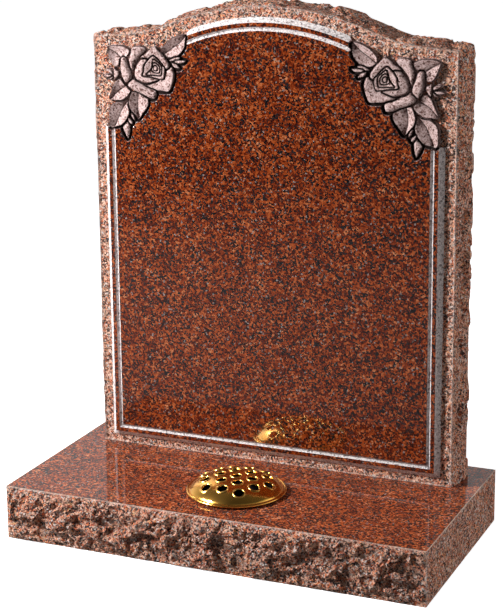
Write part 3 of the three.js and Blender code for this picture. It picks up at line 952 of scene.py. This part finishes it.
def headstoneFront(path, foot):
    s = headstone
    half = s["halfWidth"]
    raised, grooveStart = panel["raise"], panel["grooveInset"]
    grooveEnd = grooveStart + panel["grooveWidth"]
    grooveMiddle = grooveStart + panel["grooveWidth"] / 2
    lines = [panelLine(i) for i in (-raised, 0, grooveStart, grooveMiddle, grooveEnd)]

    low, high = rose["height"] - rose["below"], rose["height"] + rose["above"]
    fine = spread(-half, half, low, high, rose["step"], 21)
    fine = fine[(roseReach(fine) > -rose["ring"]) & (insetFrom(fine) > s["clear"])]
    margin = spread(-half, half, 0, s["apexHeight"], s["marginStep"], 22)
    beyondBevel = panelInset(*margin.T) < -raised - 0.8
    margin = margin[beyondBevel & (insetFrom(margin) > s["clear"]) & (roseReach(margin) <= -rose["ring"])]
    face = spread(-half, half, 0, s["apexHeight"], panel["faceStep"], 23)
    face = face[(panelInset(*face.T) > panel["faceInset"]) & (roseReach(face) <= -rose["clearRing"])]
    outline = np.concatenate([path, foot])
    points, triangles = triangulated([outline, *lines], np.concatenate([fine, margin, face]))

    x, h = points.T
    inset, edge = panelInset(x, h), insetFrom(points)
    fade = np.clip(edge / 2.5, 0, 1) * np.clip((-raised - inset) / 2, 0, 1)
    dressed = 0.6 * chips(x, h, 7.5, 61) + 0.4 * chips(x, h, 3.4, 66)
    ground = panelProfile(inset) - fade * s["marginRelief"] * dressed
    height, deep, _ = roseRelief(x, h, ground)
    bruise = np.clip(1 - edge / s["frontBruise"], 0, 1) * (0.4 + 0.6 * clouds(x, h, 12, 7))
    bruise = np.where(inset < -raised, bruise, 0)
    # the groove is made darker towards the bottom, and painted shade darkens it beyond x on the right, the
    # side away from the light
    grooveDarkening = panel["grooveDarkening"]
    inGroove = (inset > grooveStart) & (inset < grooveEnd)
    lowness = np.clip((grooveDarkening["below"] - h) / grooveDarkening["over"], 0, 1)
    deep = np.maximum(deep, grooveDarkening["low"] * inGroove * lowness)
    deep = np.maximum(deep, grooveDarkening["right"] * inGroove * (x > grooveDarkening["beyond"]))

    middle = points[triangles].mean(axis=1)
    keep = middle[:, 1] < np.interp(middle[:, 0], *topPoints())
    inset = panelInset(*middle.T)
    bevel = (inset >= -raised) & (inset < 0)
    groove = (inset > grooveStart) & (inset < grooveEnd)
    slot = np.where(inset < -raised, chippedSlot, polishedSlot)
    slot = np.where(bevel | groove, blastedSlot, slot)
    carvedRing = np.where(inset > -raised, rose["outerCut"], 0.8)
    slot = np.where(roseReach(middle) > -carvedRing, carvedSlot, slot)
    solid = np.stack([x, s["front"] - height, h + baseSlab["height"]], 1)
    return part(solid, triangles[keep], slot[keep], bruised=bruise, deep=deep)


def headstoneBack(path, foot):
    s = headstone
    half = s["halfWidth"]
    inner = spread(-half, half, 0, s["apexHeight"], s["flatStep"], 24)
    x, h = inner.T
    inner = inner[(np.abs(x) < half - 5) & (h > 6) & (h < topHeight(x) - 5)]
    points, triangles = triangulated([np.concatenate([path, foot])], inner)
    middle = points[triangles].mean(axis=1)
    keep = middle[:, 1] < np.interp(middle[:, 0], *topPoints())
    back = np.full(len(points), float(s["back"]))
    solid = np.column_stack([points[:, 0], back, points[:, 1] + baseSlab["height"]])
    return part(solid, triangles[keep], sawnSlot)


def headstoneFoot(rings, foot):  # the bedded face, between the lowest points of the sides
    s = headstone
    left, right = rings[:, 0, :2], rings[:, -1, :2]
    back, front = [np.full(len(foot), float(s[edge])) for edge in ("back", "front")]
    alongBack = np.column_stack([foot[::-1, 0], back])
    alongFront = np.column_stack([foot[:, 0], front])
    outline = np.concatenate([left, alongBack, right[::-1], alongFront])
    points, triangles = triangulated([outline], np.zeros((0, 2)))
    x, y = points[triangles].mean(axis=1).T
    keep = (x < np.interp(y, right[:, 1], right[:, 0])) & (x > np.interp(y, left[:, 1], left[:, 0]))
    bed = np.full(len(points), baseSlab["height"] + s["foot"])
    return part(np.column_stack([points, bed]), triangles[keep], sawnSlot)


def makeHeadstone():
    s = headstone
    path = headstoneOutline()
    foot = stepped((s["halfWidth"], s["foot"]), (-s["halfWidth"], s["foot"]), s["edgeStep"])[1:]
    edges, rings = headstoneEdges(path)
    parts = [headstoneFront(path, foot), edges, headstoneBack(path, foot), headstoneFoot(rings, foot)]
    finishes = [panelRed, pitchedRed, blastedRed, carvedRed, sawnRed, chippedRed]
    makePiece("granite_headstone", "headstone", parts, finishes, 38)


makeHeadstone()


# Base: polished top, rock-pitched front, quieter sides and back. Hollows struck out of
# the front are given as across, up, half width, half height and depth.
frontHollows = [
    (-270, 26, 30, 8, 9),
    (-232, 15, 28, 8, 8),
    (-172, 66, 12, 5, 4),
    (-155, 46, 34, 6, 6),
    (-134, 66, 9, 6, 4),
    (-78, 36, 16, 13, 5),
    (-22, 24, 13, 7, 5),
    (30, 6, 40, 6, 5),
    (115, 14, 16, 6, 6),
    (180, 15, 24, 6, 7),
    (222, 62, 10, 10, 6),
    (266, 26, 24, 9, 7),
    (292, 40, 12, 24, 4),
]


def pitchedSide(start, end, step, outward, amount, look, seed, hollows=()):
    b = baseSlab
    path = np.concatenate([stepped(start, end, step), [end]]).astype(float)
    run, t = np.meshgrid(walked(path), np.linspace(0, 1, b["rows"] + 1))
    z = t * b["height"]
    length = run.max()
    fromEnd = np.minimum(run, length - run)
    swell = np.sin(np.pi * t) ** b["swell"] * np.clip(fromEnd / b["endFade"], 0, 1) ** b["endSwell"]
    out = swell * np.clip(brokenStone(run, z, seed, look), 0.2, amount)
    middle = run - length / 2
    for across, up, halfWidth, halfHeight, depth in hollows:
        wobble = 1 + 0.35 * (clouds(run, z, 9, seed + across) - 0.5)
        radius = np.hypot((middle - across) / halfWidth, (z - up) / halfHeight) * wobble * 0.9
        flatter = np.where(z < up, 1.25, 1.0)
        out = out - depth * np.sqrt(np.clip(1 - radius * radius * flatter, 0, 1)) * swell
    out = np.clip(out, 0, amount)
    x = path[None, :, 0] + outward[0] * out
    y = path[None, :, 1] + outward[1] * out
    points, triangles = joined(list(np.stack([x, y, z], 2)), False)
    fromArris = np.minimum(b["height"] - z, fromEnd)
    bruise = np.clip(1 - fromArris / b["bruise"], 0, 1) * (0.5 + 0.5 * clouds(run, z, 13, 3))
    bruise = np.where(z < b["cleanFoot"], 0, bruise)
    # painted shade: the sunk parts of the broken face are darkened
    sunk = np.clip(1 - out / (0.33 * amount * np.maximum(swell, 0.2)), 0, 1)
    speckle = np.clip(0.25 + 1.3 * chips(run, z, 6.5, seed + 8), 0, 1)
    shown = 1 if len(hollows) else 0.25  # the quieter faces get little painted shade in their hollows
    cavityShade = sunk * np.clip(swell * 1.5 - 0.5, 0, 1) * speckle * shown
    made = part(points, triangles, pitchedSlot, bruised=bruise.ravel(), deep=cavityShade.ravel())
    return made, path


def flatWithBore(paths, height, slot, bruised):
    b = baseSlab
    loop = np.concatenate([path[:-1] for path in paths])
    bore = b["boreRadius"] * circleOf(container["segments"]) + [0, lid["y"]]
    inner = spread(-b["halfWidth"], b["halfWidth"], b["front"], b["back"], b["flatStep"], 25)

    def fromEdge(points):
        x, y = points.T
        return np.minimum(b["halfWidth"] - np.abs(x), np.minimum(y - b["front"], b["back"] - y))

    def fromBore(points):
        return np.hypot(points[:, 0], points[:, 1] - lid["y"])

    clear = (fromEdge(inner) > 5) & (fromBore(inner) > b["boreRadius"] + b["boreClear"])
    loose = [inner[clear]]
    if bruised:
        reach = b["halfWidth"] - b["arrisInset"]
        low, high = b["front"] + b["arrisInset"], b["back"] - b["arrisInset"]
        loose += [stepped((-reach, y), (reach, y), b["arrisStep"]) for y in (low, high)]
        loose += [stepped((x, low), (x, high), b["arrisStep"]) for x in (-reach, reach)]
    points, triangles = triangulated([loop, bore], np.concatenate(loose))
    apothem = b["boreRadius"] * math.cos(math.pi / container["segments"])
    keep = fromBore(points[triangles].mean(axis=1)) > apothem
    patchy = 0.35 + 0.5 * clouds(*points.T, 15, 9)
    bruise = np.clip(1 - fromEdge(points) / b["topBruise"], 0, 1) * patchy * bruised
    solid = np.column_stack([points, np.full(len(points), float(height))])
    return part(solid, triangles[keep], slot, bruised=bruise), bore


def makeBase():
    b = baseSlab
    half = b["halfWidth"]
    sawnBaseSlot = 2
    corners = [(-half, b["front"]), (half, b["front"]), (half, b["back"]), (-half, b["back"])]
    looks = [
        (b["frontStep"], (0, -1), b["frontPitch"], b["brokenFront"], b["seed"], frontHollows),
        (b["sideStep"], (1, 0), b["sidePitch"], b["brokenSide"], b["seed"] + 31),
        (b["sideStep"], (0, 1), b["sidePitch"], b["brokenRear"], b["seed"] + 62),
        (b["sideStep"], (-1, 0), b["sidePitch"], b["brokenRear"], b["seed"] + 93),
    ]
    parts, paths = [], []
    for start, end, look in zip(corners, corners[1:] + corners[:1], looks):
        made, path = pitchedSide(start, end, *look)
        parts.append(made)
        paths.append(path)
    top, bore = flatWithBore(paths, b["height"], polishedSlot, 1)
    bottom, _ = flatWithBore(paths, 0, sawnBaseSlot, 0)
    heights = np.linspace(0, b["height"], 7)
    rings = [np.column_stack([bore, np.full(len(bore), z)]) for z in heights]
    wall = part(*joined(rings, True), sawnBaseSlot)
    finishes = [litSlabRed, pitchedRed, sawnRed]
    makePiece("granite_base", "base", [*parts, top, bottom, wall], finishes, 38)


makeBase()


# Flower lid: a shallow dome with nineteen collared holes and a rolled rim.
def domeHeight(r):
    return lid["domeFoot"] + lid["domeRise"] * (1 - (r / lid["domeRadius"]) ** lid["domePower"])


def holeCentres():  # a hexagon of holes, five across its middle
    turn = lid["holeTurn"]
    centres = []
    for column in range(-2, 3):
        count = 5 - abs(column)
        for i in range(count):
            u = column * lid["holePitch"] * math.cos(math.pi / 6)
            v = (i - (count - 1) / 2) * lid["holePitch"]
            x = u * math.cos(turn) - v * math.sin(turn)
            centres.append((x, u * math.sin(turn) + v * math.cos(turn)))
    return np.array(centres)


def holeFrame(centre):  # outward and sideways directions, and how a hole narrows by its tilt
    r = math.hypot(*centre)
    out = centre / r if r > 1e-6 else np.array([1.0, 0.0])
    share = (r / lid["domeRadius"]) ** (lid["domePower"] - 1)
    slope = lid["domeRise"] * lid["domePower"] * share / lid["domeRadius"]
    return out, np.array([-out[1], out[0]]), math.cos(math.atan(slope))


def holeRadiusAt(points, centre):
    out, sideways, narrow = holeFrame(centre)
    gap = points - centre
    return np.hypot(gap @ out / narrow, gap @ sideways)


def holeLoop(centre, radius):
    out, sideways, narrow = holeFrame(centre)
    turns = circleOf(lid["holeSides"])
    return centre + radius * (turns[:, :1] * out * narrow + turns[:, 1:] * sideways)


def onAxis(flat, z):  # points about the lid's axis, at heights over the base
    heights = np.broadcast_to(z, len(flat)) + baseSlab["height"]
    return np.column_stack([flat[:, 0], flat[:, 1] + lid["y"], heights])


def makeLid():
    centres = holeCentres()
    circle = circleOf(lid["segments"])
    ridgeMiddle = (lid["holeRadius"] + lid["collarRadius"]) / 2
    ridgeHalf = (lid["collarRadius"] - lid["holeRadius"]) / 2
    radii = [lid["holeRadius"] + ridgeHalf * k for k in lid["ridge"]]
    loops = [circle * lid["domeRadius"]]
    loops += [holeLoop(centre, radius) for centre in centres for radius in radii]
    reach = lid["domeRadius"]
    loose = spread(-reach, reach, -reach, reach, lid["step"], 31, 0.1)
    free = np.hypot(*loose.T) < reach - 1
    for centre in centres:
        free &= holeRadiusAt(loose, centre) > lid["collarRadius"] + 0.8
    points, triangles = triangulated(loops, loose[free])
    middle = points[triangles].mean(axis=1)
    keep = np.ones(len(triangles), bool)
    rise = np.zeros(len(points))
    apothem = lid["holeRadius"] * math.cos(math.pi / lid["holeSides"])
    shy = 0.9995  # under one, so that a collar's two rims lie exactly on the dome
    for centre in centres:
        keep &= holeRadiusAt(middle, centre) > apothem
        across = (holeRadiusAt(points, centre) - ridgeMiddle) / ridgeHalf
        ridge = np.sqrt(np.clip(shy - across * across, 0, 1))
        rise = np.maximum(rise, lid["collarRise"] * ridge)
    triangles = triangles[keep]
    dome = domeHeight(np.hypot(*points.T))
    shrink = 1 - lid["sheet"] / lid["domeRadius"]
    outside, inside = onAxis(points, dome + rise), onAxis(points * shrink, dome - lid["sheet"])
    collarHighlight = np.clip(1.6 * rise / lid["collarRise"], 0, 1)  # painted highlight: the collars are coloured paler gold, standing for light on their rims
    parts = [part(outside, triangles, 0, bruised=collarHighlight), part(inside, triangles[:, ::-1], 0)]
    for centre in centres:
        loop = holeLoop(centre, lid["holeRadius"])
        z = domeHeight(np.hypot(*loop.T))
        rings = [onAxis(loop, z), onAxis(loop * shrink, z - lid["sheet"])]
        parts.append(part(*joined(rings, True), 0))
    rings = [onAxis(circle * radius, height) for radius, height in lid["rim"]]
    parts.append(part(*joined(rings, True), 0))
    makePiece("gold_flower_lid", "flower_lid", parts, [goldFinish], 50)


makeLid()


# Container: a spun pot hanging by its flange in the bore of the base.
def makeContainer():
    c = container
    seat, top, bottom = c["seat"], c["seat"] + c["sheet"], -c["depth"]
    neck, foot, flange = c["radius"], c["footRadius"], c["flangeRadius"]
    inner = bottom + c["sheet"]
    profile = [  # radius and height, up the outside and down the inside
        (0.0, bottom), (30, bottom), (foot - 3, bottom), (foot - 1, bottom + 0.8), (foot, bottom + 3),
        (c["waistRadius"], c["waist"]), (neck, seat),
        (56, seat), (flange - 0.5, seat), (flange, seat + 0.5),
        (flange, top - 0.5), (flange - 0.5, top), (56, top),
        (neck + 0.8, top), (neck - 0.6, top - 0.5), (neck - c["sheet"], top - 2),
        (c["waistRadius"] - c["sheet"], c["waist"]), (foot - c["sheet"], bottom + 4),
        (foot - 4, inner), (30, inner), (0.0, inner),
    ]
    circle = circleOf(c["segments"])
    rings = [onAxis(circle * radius, height) for radius, height in profile]
    pot = part(*joined(rings, True), 0)
    makePiece("spun_container", "flower_container", [pot], [shadedAluminiumFinish], 40)


makeContainer()


# Studio: pale floor, white surroundings behind and beside, soft key from the upper left.
studio = {
    "key": {"place": (-1.35, -1.02, 1.28), "aim": (0, 0, 0.35), "size": 0.2, "power": 66},
    "fill": {"place": (2.3, 0.95, 0.7), "aim": (0.2, 0, 0.25), "size": 1.3, "power": 23},
    "gleam": {"place": (-1.6, -1.15, 1.05), "aim": (0, 0, 0.1), "size": 1.4, "power": 44},
    "floor": (0.9, 0.9, 0.9),
    "floorSize": 9,
    "floorDrop": 0.0004,
    "floorShown": (0.84, 0.84, 0.84),
    "floorThrown": (0.27, 0.26, 0.25),  # it throws little light back up
    "floorMirrored": (0.035, 0.03, 0.028),  # and is dark in the polish
    "behind": 0.95,  # brightness of the surroundings by direction
    "right": 0.5,
    "front": 0.05,
    "left": 0.12,
    "wallTop": (1.55, 2.2),  # where the bright walls end, and how fast
    "wallFoot": 0.05,
}


def aimed(lamp, direction):
    lamp.rotation_euler = Vector(direction).to_track_quat("Z", "Y").to_euler()
    bpy.context.scene.collection.objects.link(lamp)


def makeLights():
    for name in ("key", "fill", "gleam"):
        lamp = studio[name]
        soft = bpy.data.lights.new(name, "AREA")
        soft.shape = "DISK"
        soft.size = lamp["size"]
        soft.energy = lamp["power"]
        held = bpy.data.objects.new(name, soft)
        held.location = lamp["place"]
        held.visible_glossy = name != "fill"
        held.visible_diffuse = name != "gleam"
        aimed(held, Vector(lamp["place"]) - Vector(lamp["aim"]))


def makeWorld():
    world = bpy.data.worlds.new("studio")
    world.use_nodes = True
    sky = Nodes(world.node_tree)
    split = sky.node("SeparateXYZ", {}, {0: sky.node("TexCoord", {}, {}).outputs["Generated"]})
    x, y, z = [Level(sky, split.outputs[axis]) for axis in "XYZ"]
    sideways = x.maths("MAXIMUM", 0.0) * studio["right"]
    away = (y + 0.3).maths("MAXIMUM", 0.0) * (studio["behind"] / 0.6)
    away = away.maths("MINIMUM", studio["behind"])
    start, fall = studio["wallTop"]
    low = (start - z * fall).maths("MAXIMUM", studio["wallFoot"]).maths("MINIMUM", 1.0)
    ahead = (0 - x).maths("MAXIMUM", 0.0) * studio["left"] + studio["front"]
    glow = (sideways + away) * low + ahead
    seen = Level(sky, sky.node("LightPath", {}, {}).outputs["Is Camera Ray"])
    lit = sky.node("Background", {}, {"Strength": glow.maths("MAXIMUM", seen)})
    sky.node("OutputWorld", {}, {"Surface": lit.outputs[0]})
    bpy.context.scene.world = world
    bpy.context.scene.view_settings.view_transform = "Standard"


def makeFloor():
    size = studio["floorSize"]
    mesh = bpy.data.meshes.new("floor")
    corners = [(-size, -size, 0), (size, -size, 0), (size, size, 0), (-size, size, 0)]
    mesh.from_pydata(corners, [], [(0, 1, 2, 3)])
    floor = bpy.data.objects.new("floor", mesh)
    floor.location.z = -studio["floorDrop"]
    finish = Finish("pale floor")
    rays = finish.node("LightPath", {}, {})
    seen = Level(finish, rays.outputs["Is Camera Ray"])
    mirrored = Level(finish, rays.outputs["Is Glossy Ray"])
    mottle = finish.level(finish.place(), 3)
    tone = finish.blend(mottle * 0.1, studio["floor"], scaled(studio["floor"], 0.97))
    tone = finish.blend(seen, studio["floorThrown"], tone)
    tone = finish.blend(mirrored, tone, studio["floorMirrored"])
    shine = finish.blend(seen, (0, 0, 0), studio["floorShown"])  # for the camera alone
    sockets = {"Base Color": tone, "Roughness": 0.9, "Emission Color": shine, "Emission Strength": 1.0}
    mesh.materials.append(finish.surface(sockets))
    bpy.context.scene.collection.objects.link(floor)


makeLights()
makeWorld()
makeFloor()
print("studio made")
